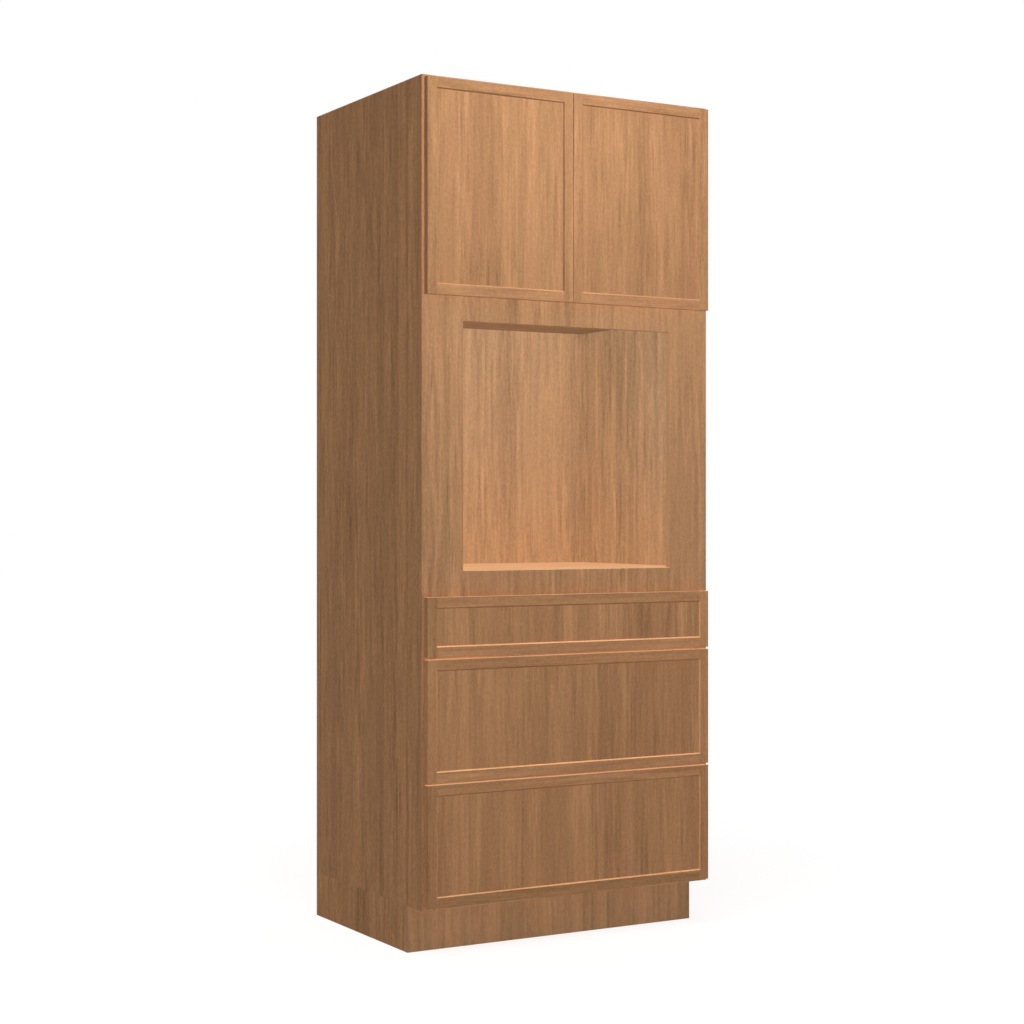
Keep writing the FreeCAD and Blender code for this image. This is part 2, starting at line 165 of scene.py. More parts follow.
class OakSettings(bpy.types.PropertyGroup):
    """Colours and scale of the oak figure."""

    pink_tone: paint("Pink Tone", "Colour of the warmer strips", (0.543, 0.274, 0.132))
    ochre_tone: paint("Ochre Tone", "Colour of the greener strips", (0.531, 0.275, 0.129))
    # Painted light: the pale tone is a paler copy of the oak inside the carcass; on the edge bands it is partly
    # their own colour and partly painted light in the gaps.
    pale_tone: paint(
        "Pale Tone", "Colour of the edge bands, the back and the decks inside the carcass",
        (0.574, 0.372, 0.212))
    # Painted light: a paler copy of the oak on the inner faces of the side panels.
    inner_side_tone: paint(
        "Inner Side Tone", "Colour of the inner faces of the side panels", (0.615, 0.448, 0.283))
    # Painted shade: a darker copy of the oak on the underside of the deck over the oven.
    ceiling_tone: paint(
        "Ceiling Tone", "Colour of the underside of the deck over the oven, a greyer backing veneer",
        (0.438, 0.365, 0.285))
    strip_width: metres("Strip Width", "Width of the broad strips across the grain", 0.045, 0.005)
    streak_width: metres("Streak Width", "Width of the middling streaks", 0.011, 0.001)
    line_width: metres("Line Width", "Width of the fine growth lines", 0.0045, 0.0002)
    speckle_width: metres(
        "Speckle Width", "Width of the short flakes that ripple the figure", 0.006, 0.0005)
    pore_width: metres("Pore Width", "Width of the open pores", 0.00045, 0.0001)
    wander: metres("Wander", "How far the grain strays sideways", 0.012, 0)
    contrast: unitless("Contrast", "Strength of the light and dark figure", 1.0, max=3)
    roughness: unitless("Roughness", "Roughness of the matt lacquer", 0.5, max=1)
    specular: unitless("Specular", "Strength of the dull lacquer's reflections", 0.006, max=1)
    veneer_ply: metres("Ply Thickness", "Thickness of one ply in the core of a board", 0.00141, 0.0003)


class EdgeSettings(bpy.types.PropertyGroup):
    """How far the free edges of the boards are eased."""

    carcass: metres("Carcass Edge", "Easing of the outer edges of the cabinet", 0.0008, 0.0001)
    front: metres("Front Edge", "Easing round each door and drawer front", 0.0010, 0.0001)
    cutout: metres("Cut-out Edge", "Easing round the oven cut-out", 0.0006, 0.0001)
    box: metres("Drawer Box Edge", "Easing of the edges of a drawer box's boards", 0.0012, 0.0001)
    segments: IntProperty(
        name="Segments", description="Facets across each eased edge", default=2, min=1, max=6)


class FittingSettings(bpy.types.PropertyGroup):
    """Sizes of the screws and levers."""

    pan_radius: metres("Pan Head Radius", "Head of a drawer front screw", 0.0045, 0.001)
    pan_height: metres("Pan Head Height", "Height of a drawer front screw's head", 0.0024, 0.0005)
    slide_screw_radius: metres("Slide Screw Radius", "Head of a screw in a drawer slide", 0.0035, 0.001)
    slide_screw_height: metres("Slide Screw Height", "Height of a slide screw's head", 0.0016, 0.0005)
    cup_screw_radius: metres(
        "Cup Screw Radius", "Head of a screw in a hinge cup's flange", 0.0027, 0.001)
    cup_screw_height: metres("Cup Screw Height", "How far that head stands out", 0.0005, 0.0001)
    lever_length: metres("Lever Length", "Release lever of a drawer slide", 0.038, 0.01)
    lever_width: metres("Lever Width", "Width of that lever", 0.009, 0.002)
    lever_sheet: metres("Lever Sheet", "Sheet that the lever is pressed from", 0.001, 0.0002)
    lever_lift: metres("Lever Lift", "How far its thumb end is bent off the web", 0.0008, 0)


class StudioSettings(bpy.types.PropertyGroup):
    """Camera, lamps and backdrop."""

    camera_place: spot("Camera Place", "Where the camera stands", (-2.64193, -4.58678, 1.07723))
    camera_turn: FloatProperty(
        name="Camera Turn", description="Turn of the level camera about the vertical",
        subtype="ANGLE", default=math.radians(-29.966))
    camera_lens: FloatProperty(
        name="Camera Lens", description="Focal length", default=70.43, min=10, unit="CAMERA")
    lamp_place: spot("Lamp Place", "Where the lamp before the doors hangs", (-0.12, -0.834, 2.2))
    lamp_strength: unitless("Lamp Strength", "Strength of that lamp", 11.6)
    high_lamp_place: spot(
        "High Lamp Place", "Where the farther and higher lamp hangs", (-0.2, -1.91, 2.7))
    high_lamp_strength: unitless("High Lamp Strength", "Strength of the farther lamp", 60.0)
    side_light: unitless("Side Light", "Soft light on the left side", 0.08)
    far_side_light: unitless("Far Side Light", "Soft light on the right side and the back", 0.95)
    top_light: unitless("Top Light", "Soft light from above", 2.0)
    floor_light: unitless(
        "Floor Light", "Light on the floor alone, in which the cabinet casts a soft shadow", 0.8)
    surround: unitless("Surround", "Strength of the light from all round", 0.2)


SETTINGS = {
    "oven_unit_oak": OakSettings,
    "oven_unit_edges": EdgeSettings,
    "oven_unit_fittings": FittingSettings,
    "oven_unit_studio": StudioSettings,
}


# ---------------------------------------------------------------- shader trees

class Value:
    """A number socket that takes part in arithmetic: an expression on values adds its Math nodes."""

    def __init__(self, shader, socket):
        self.shader = shader
        self.socket = socket

    def __add__(self, other):
        return self.shader.math("ADD", self, other)

    def __sub__(self, other):
        return self.shader.math("SUBTRACT", self, other)

    def __rsub__(self, other):
        return self.shader.math("SUBTRACT", other, self)

    def __mul__(self, other):
        return self.shader.math("MULTIPLY", self, other)

    def __gt__(self, other):
        return self.shader.math("GREATER_THAN", self, other)

    def __lt__(self, other):
        return self.shader.math("LESS_THAN", self, other)

    __radd__ = __add__
    __rmul__ = __mul__


class Nodes:
    """The emptied node tree of a material, a world or a lamp."""

    def __init__(self, owner):
        owner.use_nodes = True
        self.tree = owner.node_tree
        self.tree.nodes.clear()

    def node(self, kind, settings=(), inputs=()):
        """Add one node: its type, its settings, then the values or links of its sockets."""
        node = self.tree.nodes.new(kind)
        for name, value in dict(settings).items():
            setattr(node, name, value)
        self.fill(node, inputs)
        return node

    def fill(self, node, inputs):
        """Give sockets of a node their values or links."""
        for key, value in dict(inputs).items():
            value = value.socket if isinstance(value, Value) else value
            if isinstance(value, bpy.types.NodeSocket):
                self.tree.links.new(value, node.inputs[key])
            else:
                node.inputs[key].default_value = value

    def math(self, operation, first, second=0.0):
        """One Math node on two values."""
        node = self.node("ShaderNodeMath", {"operation": operation}, {0: first, 1: second})
        return Value(self, node.outputs[0])

    def seen_straight(self):
        """One for the camera's own rays and for those that a mirror or clear plastic passes on."""
        rays = self.node("ShaderNodeLightPath").outputs
        camera, glossy, clear = [Value(self, rays[name]) for name in
                                 ("Is Camera Ray", "Is Glossy Ray", "Is Transmission Ray")]
        return self.math("MAXIMUM", self.math("MAXIMUM", camera, glossy), clear)


class Shader(Nodes):
    """The node tree of a new material, with a Principled shader as its surface."""

    def __init__(self, name):
        self.material = bpy.data.materials.new(name)
        super().__init__(self.material)
        self.surface = self.node("ShaderNodeBsdfPrincipled")
        self.node("ShaderNodeOutputMaterial", {}, {"Surface": self.surface.outputs["BSDF"]})

    def position(self):
        """Object coordinates as three values."""
        place = self.node("ShaderNodeTexCoord").outputs["Object"]
        parts = self.node("ShaderNodeSeparateXYZ", {}, {0: place})
        return [Value(self, socket) for socket in parts.outputs]

    def direction(self):
        """The surface's own direction in object coordinates, as three values."""
        normal = self.node("ShaderNodeTexCoord").outputs["Normal"]
        parts = self.node("ShaderNodeSeparateXYZ", {}, {0: normal})
        return [Value(self, socket) for socket in parts.outputs]

    def facing(self):
        """The parts of that direction without their signs."""
        return [self.math("ABSOLUTE", part) for part in self.direction()]

    def point(self, x, y, z):
        """A vector socket from three values."""
        return self.node("ShaderNodeCombineXYZ", {}, {0: x, 1: y, 2: z}).outputs[0]

    def board(self):
        """The number of the board, which shifts its figure against its neighbours'."""
        return Value(self, self.node("ShaderNodeAttribute", {"attribute_name": "board"}).outputs["Fac"])

    def noise(self, point, detail=1.0, roughness=0.5):
        """Smooth noise about one half."""
        inputs = {"Vector": point, "Scale": 1.0, "Detail": detail, "Roughness": roughness}
        return Value(self, self.node("ShaderNodeTexNoise", {}, inputs).outputs[0])

    def cells(self, point):
        """Two random numbers for each cell of a flat Voronoi pattern."""
        inputs = {"Vector": point, "Scale": 1.0}
        node = self.node("ShaderNodeTexVoronoi", {"voronoi_dimensions": "2D"}, inputs)
        parts = self.node("ShaderNodeSeparateColor", {}, {0: node.outputs["Color"]})
        return Value(self, parts.outputs[0]), Value(self, parts.outputs[1])

    def ramp(self, value, start, end):
        """Nought up to the start, one from the end on, and a straight rise between."""
        node = self.node("ShaderNodeValToRGB", {}, {"Fac": value})
        low, high = node.color_ramp.elements
        low.position = start
        high.position = end
        return Value(self, node.outputs["Color"])

    def mix(self, factor, first, second):
        """One colour blended into another."""
        first, second = [colour if isinstance(colour, bpy.types.NodeSocket) else (*colour, 1)
                         for colour in (first, second)]
        return self.node("ShaderNodeMix", {"data_type": "RGBA"}, {0: factor, 6: first, 7: second}).outputs[2]

    def brighten(self, colour, factor):
        """A colour times a value."""
        inputs = {0: colour, "Scale": factor}
        return self.node("ShaderNodeVectorMath", {"operation": "SCALE"}, inputs).outputs[0]

    def bump(self, height, distance, strength=1.0):
        """A normal from a height."""
        inputs = {"Height": height, "Distance": distance, "Strength": strength}
        return self.node("ShaderNodeBump", {}, inputs).outputs[0]

    def finish(self, **inputs):
        """Fill the surface's sockets, named with underscores for blanks, and give back the material."""
        self.fill(self.surface, {name.replace("_", " "): value for name, value in inputs.items()})
        return self.material


def made_once(build):
    """Let a material function build each of its materials one time only."""
    signature = inspect.signature(build)
    kept = {}

    def material(*values):
        given = signature.bind(*values)
        given.apply_defaults()
        if given.args not in kept:
            kept[given.args] = build(*given.args)
        return kept[given.args]
    return material


# ---------------------------------------------------------------- materials

class Look(NamedTuple):
    """How one group of boards differs from the others."""

    broad: float                    # strength of the strips and bands
    fine: float                     # strength of the streaks and lines
    short: float                    # strength of the speckles
    pale: float = 0.0               # how far the outer faces go to the inner tone, painted light on the face frame and its rails
    pale_inside: float = 1.0        # how far the faces inside the carcass go there, a painted light
    inner_tone: str = "pale_tone"   # which of the oak settings that tone is
    underside_only: bool = False    # whether only its underside goes there
    gain: float = 1.0               # brightness of the whole board
    width: float = 1.0              # how wide its streaks, lines and speckles are
    band: float = 0.0               # how far the band along its edges goes to the inner tone, edge banding that is partly painted light in the gaps
    stain: float = 0.0              # painted shade: how much darker the downward slopes round a recessed panel, and the sideways ones near the middle, are
    rubbed: float = 0.0             # painted highlight: how much paler the lower and right-hand outer slopes there are


LOOKS = {
    "carcass": Look(1.05, 1.0, 1.0),
    "deck": Look(1.05, 1.0, 1.0, pale_inside=0.35, gain=1.06),
    # the darker ceiling tone, a painted shade, goes on the underside alone
    "ceiling": Look(1.05, 1.0, 1.0, inner_tone="ceiling_tone", underside_only=True),
    "side": Look(1.1, 1.1, 1.1, inner_tone="inner_side_tone", width=1.6),
    "plinth": Look(1.0, 0.8, 0.85, pale=0.3, gain=0.96),
    "front": Look(0.9, 1.0, 0.95, band=1.0, stain=0.33),
    # the face frame and its rails go paler as painted light
    "frame": Look(0.9, 1.0, 0.95, pale=0.12, band=1.0),
    "rail": Look(0.9, 1.0, 0.95, pale=0.6, band=1.0),
    "drawer": Look(1.15, 0.85, 0.95, band=0.5, stain=0.12, rubbed=0.42),
}
AXES = {"X": (2, 1, 0), "Y": (0, 2, 1), "Z": (0, 1, 2)}  # across, deep and along for each run of the grain

# how one board's figure is shifted against the next, and how the grain sways
ACROSS_SHIFT = 0.37
ALONG_SHIFT = 3.1
SWAY_SHIFT = 7.7
SWAY_ACROSS = 5.0
SWAY_ALONG = 1.3

# the oak's features: their lengths along the grain, and how much lighter or darker they make it
BAND_LENGTH = 1.1
HUE_LENGTH = 0.9
STREAK_LENGTH = 0.19
LINE_LENGTH = 0.085
SPECKLE_LENGTH = 0.009
PORE_LENGTH = 0.0065
FLECK_WIDTH = 0.0035
FLECK_LENGTH = 0.0022
RIB_WIDTH = 0.006
RIB_LENGTH = 0.35
PATCH_LENGTH = 0.28
STRIP_TONE = 0.15
BAND_TONE = 0.33
STREAK_TONE = 0.60
LINE_TONE = 0.40
SPECKLE_TONE = 0.42
PORE_TONE = 0.08
FLECK_TONE = 0.04
RIB_TONE = 0.05

EDGE_ON = 0.8          # part of a face's direction from which on it counts as looking that way
SHELTERED_REACH = 0.2  # how far from the middle an upright slope gets painted shade instead of a painted highlight
SLOPE_LEAN = 0.3       # how far a slope round a recessed panel leans up, down or sideways
SLOPE_LEAST = 0.6      # how far it looks forwards, at least and at most
SLOPE_MOST = 0.8
FIBRES = 900.0         # fibres of a ply per metre
BIRCH_PLY = 0.00145
BIRCH_WANDER = 0.02


def grain_figure(shader, grain, wander):
    """The three coordinates of a board in its own grain: across, deep and along."""
    place = shader.position()
    across, deep, along = [place[axis] for axis in AXES[grain]]
    board = shader.board()
    along = along + board * ALONG_SHIFT
    sway_point = shader.point(
        across * SWAY_ACROSS, deep * SWAY_ACROSS + board * SWAY_SHIFT, along * SWAY_ALONG)
    across = across + (shader.noise(sway_point) - 0.5) * wander + board * ACROSS_SHIFT
    return across, deep, along


def grained(shader, figure, width, length, detail, roughness=0.5):
    """Noise whose features are so wide across the grain and so long along it."""
    across, deep, along = figure
    point = shader.point(across * (1 / width), deep * (1 / width), along * (1 / length))
    return shader.noise(point, detail, roughness)


def inside_carcass(shader):
    """One on the faces that look into the carcass, nought on all others."""
    x, y, z = shader.position()
    low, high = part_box("oven_deck")
    bottom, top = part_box("bottom_deck")[0].z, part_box("top_panel")[1].z
    between_sides = shader.math("ABSOLUTE", x) < high.x + FACE_REACH
    before_back = (y > low.y - FACE_REACH) * (y < high.y + FACE_REACH)
    above_plinth = (z > bottom + FACE_REACH) * (z < top - FACE_REACH)
    return between_sides * before_back * above_plinth


def edge_bands(shader):
    """One on edges that look up or down, and on those that look sideways within the cut-out's width: edge bands, and
    painted light on the edges in the gaps between the fronts.
    """
    sideways, _, upright = shader.facing()
    cutout_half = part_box("oven_front_panel")[1].x - CUTOUT_SIDE
    near_middle = shader.math("ABSOLUTE", shader.position()[0]) < cutout_half + FACE_REACH
    return shader.math("MAXIMUM", upright > EDGE_ON, near_middle * (sideways > EDGE_ON))


def slope_factor(shader, kind):
    """Painted highlight and painted shade on the slopes round a recessed panel, as a factor on the tone."""
    right, _, up = shader.direction()
    sideways, forwards, _ = shader.facing()
    near_middle = shader.math("ABSOLUTE", shader.position()[0]) < SHELTERED_REACH
    sheltered = shader.math("MAXIMUM", up < -SLOPE_LEAN, (sideways > SLOPE_LEAN) * near_middle)
    exposed = shader.math("MAXIMUM", up > SLOPE_LEAN, (right < -SLOPE_LEAN) * (1 - near_middle))
    slope = (forwards > SLOPE_LEAST) * (forwards < SLOPE_MOST)
    return 1 + slope * (exposed * kind.rubbed - sheltered * kind.stain)


@made_once
def oak(grain, look="carcass", ply=""):
    """Oak veneer, its grain along one axis, and a plywood core where the board's edge shows its plies."""
    settings = bpy.context.scene.oven_unit_oak
    kind = LOOKS[look]
    shader = Shader("_".join(("oak", look, grain.lower()) + (("ply", ply.lower()) if ply else ())))
    figure = grain_figure(shader, grain, settings.wander)
    across, deep, _ = figure
    broad, fine, short = [strength * settings.contrast for strength in (kind.broad, kind.fine, kind.short)]

    strip_point = shader.point(across * (1 / settings.strip_width), deep * (1 / settings.strip_width), 0.0)
    strip, strip_hue = shader.cells(strip_point)
    band = grained(shader, figure, settings.strip_width * 1.3, BAND_LENGTH, 1.0)
    band_hue = grained(shader, figure, settings.strip_width * 0.8, HUE_LENGTH, 0.0)
    streak = grained(shader, figure, settings.streak_width * kind.width, STREAK_LENGTH, 2.0, 0.55)
    line = grained(shader, figure, settings.line_width * kind.width, LINE_LENGTH, 2.0, 0.6)
    speckle = grained(shader, figure, settings.speckle_width * kind.width, SPECKLE_LENGTH, 2.0, 0.55)
    pore = shader.ramp(grained(shader, figure, settings.pore_width, PORE_LENGTH, 1.0), 0.60, 0.70)
    fleck = shader.ramp(grained(shader, figure, FLECK_WIDTH, FLECK_LENGTH, 1.0), 0.55, 0.75)
    rib = grained(shader, figure, RIB_WIDTH, RIB_LENGTH, 0.0)
    dark_line = 1 - shader.ramp(shader.math("ABSOLUTE", rib - 0.5), 0.0, 0.012)
    patch = grained(shader, figure, settings.strip_width, PATCH_LENGTH, 1.0) * 3.2 - 0.6

    streaks = (streak - 0.5) * (STREAK_TONE * fine) + (line - 0.5) * (LINE_TONE * fine)
    tone = ((strip - 0.5) * (STRIP_TONE * broad) + (band - 0.5) * (BAND_TONE * broad)
            + streaks * patch + (speckle - 0.5) * (SPECKLE_TONE * short))
    tone = (1 + tone - pore * PORE_TONE + fleck * FLECK_TONE - dark_line * (RIB_TONE * fine)) * kind.gain
    hue = (strip_hue - 0.5) * 0.5 + (band_hue - 0.5) * 1.6 + (streak - 0.5) * 0.5 + 0.5
    outer = shader.mix(shader.ramp(hue, 0.2, 0.8), settings.pink_tone, settings.ochre_tone)
    # painted light inside the carcass: its faces take the paler inner tones
    inside = inside_carcass(shader)
    # painted shade: the ceiling's underside takes the darker ceiling tone
    if kind.underside_only:
        inside = inside * (shader.direction()[2] < 0)
    # this mix is painted light on the face frame, its rails and inside the carcass
    pale = inside * kind.pale_inside + (1 - inside) * kind.pale
    # edge bands, partly painted light on the edges in the gaps between the fronts
    if kind.band:
        pale = shader.math("MAXIMUM", pale, edge_bands(shader) * kind.band)
        # painted shade and painted highlights on the slopes round a recessed panel
        tone = tone * slope_factor(shader, kind)
    colour = shader.brighten(shader.mix(pale, outer, getattr(settings, kind.inner_tone)), tone)
    height = line * 0.35 + streak * 0.25 - pore
    if ply:
        colour = ply_edge(shader, colour, ply, settings.veneer_ply)
    return shader.finish(
        Base_Color=colour, Roughness=(line - 0.5) * 0.16 + pore * 0.12 + settings.roughness,
        Specular_IOR_Level=settings.specular, Normal=shader.bump(height, 0.00018, 0.6))


def ply_edge(shader, colour, axis, thickness):
    """Plies of the core where the surface faces up or down, counted through the board along an axis."""
    through = shader.position()["XYZ".index(axis)]
    layer = shader.math("PINGPONG", through, thickness) * (1 / thickness)
    fibre = shader.noise(shader.point(*[value * FIBRES for value in shader.position()]), 2.0)
    plies = shader.mix(shader.ramp(layer, 0.42, 0.58), (0.60, 0.41, 0.23), (0.36, 0.21, 0.11))
    plies = shader.brighten(plies, 0.85 + fibre * 0.3)
    return shader.mix(shader.facing()[2] > 0.7, colour, plies)


@made_once
def birch(grain, ply=""):
    """Clear lacquered birch plywood of the drawer boxes."""
    shader = Shader("birch_" + grain.lower() + ("_ply_" + ply.lower() if ply else ""))
    figure = grain_figure(shader, grain, BIRCH_WANDER)
    band = grained(shader, figure, 0.035, 0.5, 1.0)
    streak = grained(shader, figure, 0.006, 0.16, 2.0, 0.6)
    fleck = shader.ramp(grained(shader, figure, 0.0011, 0.006, 0.0), 0.60, 0.72)
    tone = 1 + (band - 0.5) * 0.22 + (streak - 0.5) * 0.26 - fleck * 0.10
    colour = shader.brighten(shader.mix(band, (0.73, 0.555, 0.345), (0.67, 0.50, 0.30)), tone)
    if ply:
        colour = ply_edge(shader, colour, ply, BIRCH_PLY)
    return shader.finish(
        Base_Color=colour, Roughness=(streak - 0.5) * 0.2 + 0.42, Specular_IOR_Level=0.15,
        Normal=shader.bump(streak * 0.5 - fleck, 0.00012, 0.5))


@made_once
def steel(name, colour, roughness, cast):
    """Plated steel with faint rolling marks along Y and a slight cast where the plating varies."""
    shader = Shader(name)
    x, y, z = shader.position()
    cloud = shader.noise(shader.point(x * 60.0, y * 25.0, z * 60.0), 3.0)
    brush = shader.noise(shader.point(x * 2200.0, y * 45.0, z * 2200.0), 2.0)
    tone = 1 + (cloud - 0.5) * 0.18 + (brush - 0.5) * 0.10
    return shader.finish(
        Base_Color=shader.brighten(shader.mix(cloud, colour, cast), tone), Metallic=1.0,
        Roughness=(brush - 0.5) * 0.25 + (cloud - 0.5) * 0.2 + roughness,
        Normal=shader.bump(brush, 0.00004, 0.4))


def zinc():
    """Bright zinc of the drawer slides."""
    return steel("zinc", (0.62, 0.63, 0.65), 0.34, (0.66, 0.64, 0.56))


def nickel():
    """Satin nickel of the hinges, screws and shelf pins."""
    return steel("nickel", (0.66, 0.64, 0.60), 0.28, (0.60, 0.58, 0.55))


@made_once
def plastic(name, colour, roughness, transmission):
    """Moulded plastic with a fine spark-eroded grain."""
    shader = Shader(name)
    x, y, z = shader.position()
    grain = shader.noise(shader.point(x * 3500.0, y * 3500.0, z * 3500.0), 2.0)
    haze = shader.noise(shader.point(x * 300.0, y * 300.0, z * 300.0), 1.0)
    return shader.finish(
        Base_Color=shader.brighten(colour, 0.94 + haze * 0.12),
        Roughness=(grain - 0.5) * 0.2 + roughness, Transmission_Weight=transmission,
        Normal=shader.bump(grain, 0.00002, 0.4))


def clear_plastic():
    """Soft clear plastic of the bumpers."""
    return plastic("clear_plastic", (0.80, 0.81, 0.81), 0.3, 0.7)


# ---------------------------------------------------------------- boards

def union_box(nodes):
    """Lowest and highest corner of several nodes together."""
    boxes = [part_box(node) for node in nodes]
    low = Vector(min(box[0][axis] for box in boxes) for axis in range(3))
    high = Vector(max(box[1][axis] for box in boxes) for axis in range(3))
    return low, high


def on_box_edge(edge, box):
    """Whether an edge of a mesh lies along an edge of a box, on two of its faces at once."""
    faces = [(axis, limit[axis]) for limit in box for axis in range(3)]
    held = [all(abs(vertex.co[axis] - place) < SAME_PLACE for vertex in edge.verts) for axis, place in faces]
    return sum(held) == 2


def islands(mesh):
    """The separate solids of a mesh, each a list of its vertices, from the lowest left front one on."""
    left, found = set(mesh.verts), []
    for start in mesh.verts:
        if start not in left:
            continue
        group, edge_of_group = [], [start]
        left.discard(start)
        while edge_of_group:
            vertex = edge_of_group.pop()
            group.append(vertex)
            for edge in vertex.link_edges:
                other = edge.other_vert(vertex)
                if other in left:
                    left.discard(other)
                    edge_of_group.append(other)
        found.append(group)
    return sorted(found, key=lambda group: tuple(round(value, 4) for value in island_box(group)[0]))


def island_box(group):
    """Lowest and highest corner of a group of vertices."""
    low = Vector(min(vertex.co[axis] for vertex in group) for axis in range(3))
    high = Vector(max(vertex.co[axis] for vertex in group) for axis in range(3))
    return low, high


def merged_copy(node):
    """The mesh of a solid with its loose triangles joined and its flat faces made whole."""
    mesh = bmesh.new()
    mesh.from_mesh(frame["nodes"][node].data)
    bmesh.ops.remove_doubles(mesh, verts=mesh.verts, dist=SAME_PLACE / 10)
    bmesh.ops.dissolve_limit(mesh, angle_limit=FLAT_ANGLE, verts=mesh.verts, edges=mesh.edges)
    return mesh


def solid_boxes(node):
    """The box of each separate solid of a node."""
    mesh = merged_copy(node)
    boxes = [island_box(group) for group in islands(mesh)]
    mesh.free()
    return boxes


def new_piece(name, mesh, material, body, slot):
    """Turn a bmesh into an object that rides on a body."""
    data = bpy.data.meshes.new(name)
    mesh.to_mesh(data)
    mesh.free()
    data.materials.append(material)
    piece = bpy.data.objects.new(name, data)
    bpy.context.scene.collection.objects.link(piece)
    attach(piece, body)
    return piece


def ease_board(node, material, slot, boxes, width, board):
    """Replace a node by a copy with the edges along the given boxes eased; its number shifts its figure."""
    mesh = merged_copy(node)
    number = mesh.verts.layers.float.new("board")
    for count, group in enumerate(islands(mesh)):
        for vertex in group:
            vertex[number] = board + 0.5 * count
    edges = [edge for edge in mesh.edges if any(on_box_edge(edge, box) for box in boxes)]
    if edges:
        bmesh.ops.bevel(
            mesh, geom=edges, offset=width, offset_type="OFFSET", profile=0.5, affect="EDGES", material=-1,
            segments=bpy.context.scene.oven_unit_edges.segments, clamp_overlap=True)
    piece = new_piece(node + "_eased", mesh, material, body_of(node), slot)
    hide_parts(node)
    return piece


def body_of(node):
    """The body that a node rides on."""
    return frame["nodes"][node]["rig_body"]


def finish_node(node, material):
    """Give a node that keeps its shape its material."""
    for slot in frame["nodes"][node].material_slots:
        slot.material = material


def carcass_shell():
    """The box whose edges are eased on the carcass: all but its bottom, which meets the plinth."""
    low, high = union_box(CARCASS_BOARDS)
    return low - Vector((0, 0, SEAM_REACH)), high


def dress_carcass():
    """Sides, top, back, decks and cleats."""
    width = bpy.context.scene.oven_unit_edges.carcass
    shell = carcass_shell()
    for side in ("left", "right"):
        node = "side_panel_" + side
        ease_board(node, oak("Z", "side", "X"), "oak_upright_grain", [shell], width, SIDE_BOARD)
    ease_board("back_panel", oak("Z", "carcass", "Y"), "oak_upright_grain", [shell], width, BACK_BOARD)
    decks = (("top_panel", "carcass"), ("cupboard_deck", "ceiling"),
             ("oven_deck", "deck"), ("bottom_deck", "carcass"))
    for board, (node, look) in enumerate(decks, start=DECK_BOARD):
        ease_board(node, oak("X", look), "oak_upright_grain", [], width, board)
    finish_node("oven_deck_cleats", birch("Y"))
    finish_node("slide_packers", birch("Y"))


def dress_shelf():
    """The adjustable shelf, with all its own edges eased, and its pins."""
    width = bpy.context.scene.oven_unit_edges.carcass
    own_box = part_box("cupboard_shelf")
    ease_board("cupboard_shelf", oak("X"), "oak_upright_grain", [own_box], width, SHELF_BOARD)
    finish_node("shelf_pins", nickel())


def dress_plinth():
    """The boards of the recessed base."""
    width = bpy.context.scene.oven_unit_edges.carcass
    low, high = union_box(["plinth_front", "plinth_sides", "plinth_back"])
    base = (low, high + Vector((0, 0, SEAM_REACH)))
    boards = (("plinth_front", "plinth"), ("plinth_sides", "side"), ("plinth_back", "side"))
    for board, (node, look) in enumerate(boards, start=PLINTH_BOARD):
        ease_board(node, oak("Z", look), "oak_upright_grain", [base], width, board)


def dress_face_frame():
    """Stiles, rails and the front panel with the cut-out, which share one run of figure."""
    edges = bpy.context.scene.oven_unit_edges
    shell = carcass_shell()
    for side in ("left", "right"):
        node = "frame_stile_" + side
        ease_board(node, oak("Z", "frame"), "oak_upright_grain", [shell], edges.carcass, SIDE_BOARD)
    rails = ("frame_top_rail", "frame_bottom_rail", "frame_drawer_rails")
    for board, node in enumerate(rails, start=RAIL_BOARD):
        ease_board(node, oak("X", "rail"), "oak_cross_grain", [shell], edges.carcass, board)
    low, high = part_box("oven_front_panel")
    deck_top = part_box("oven_deck")[1].z
    cutout_half = high.x - CUTOUT_SIDE
    cutout_low = Vector((-cutout_half, low.y, deck_top))
    cutout_box = (cutout_low, Vector((cutout_half, high.y + 1, deck_top + CUTOUT_HEIGHT)))
    oak_face = oak("Z", "frame")
    ease_board("oven_front_panel", oak_face, "oak_upright_grain", [cutout_box], edges.cutout, SIDE_BOARD)


def dress_front(name, board, look):
    """Stiles, rails and panel of one door or drawer front."""
    edges = bpy.context.scene.oven_unit_edges
    upright, cross = oak("Z", look), oak("X", look)
    whole = union_box([name + "_stiles", name + "_rails"])
    ease_board(name + "_stiles", upright, "oak_upright_grain", [whole], edges.front, board)
    ease_board(name + "_rails", cross, "oak_cross_grain", [whole], edges.front, board + 2)
    ease_board(name + "_panel", upright, "oak_upright_grain", [], edges.front, board + 4)


def dress_drawer(name, board):
    """Front, box and slides of one drawer."""
    edges = bpy.context.scene.oven_unit_edges
    dress_front(name + "_front", board, "drawer")
    for part, ply in (("_box_sides", "X"), ("_box_ends", "Y")):
        node = name + part
        grain = "Y" if ply == "X" else "X"
        ease_board(node, birch(grain, ply), "birch", solid_boxes(node), edges.box, board)
    ease_board(name + "_box_bottom", birch("X"), "birch", [], edges.box, board + 1)
    for member in ("outer", "middle", "inner"):
        finish_node(name + "_slide_" + member, zinc())


# ---------------------------------------------------------------- fittings

def ring(mesh, radius, height, count):
    """A loop of edges about the Z axis."""
    lift = Matrix.Translation((0, 0, height))
    made = bmesh.ops.create_circle(mesh, radius=radius, segments=count, matrix=lift)
    return list({edge for vertex in made["verts"] for edge in vertex.link_edges})


def turned_rings(mesh, radius, height, profile, count):
    """The bridged rings of a turned shape, from shares of its radius and height."""
    rings = [ring(mesh, radius * across, height * up, count) for across, up in profile]
    for lower, upper in zip(rings, rings[1:]):
        bmesh.ops.bridge_loops(mesh, edges=lower + upper)
    return rings


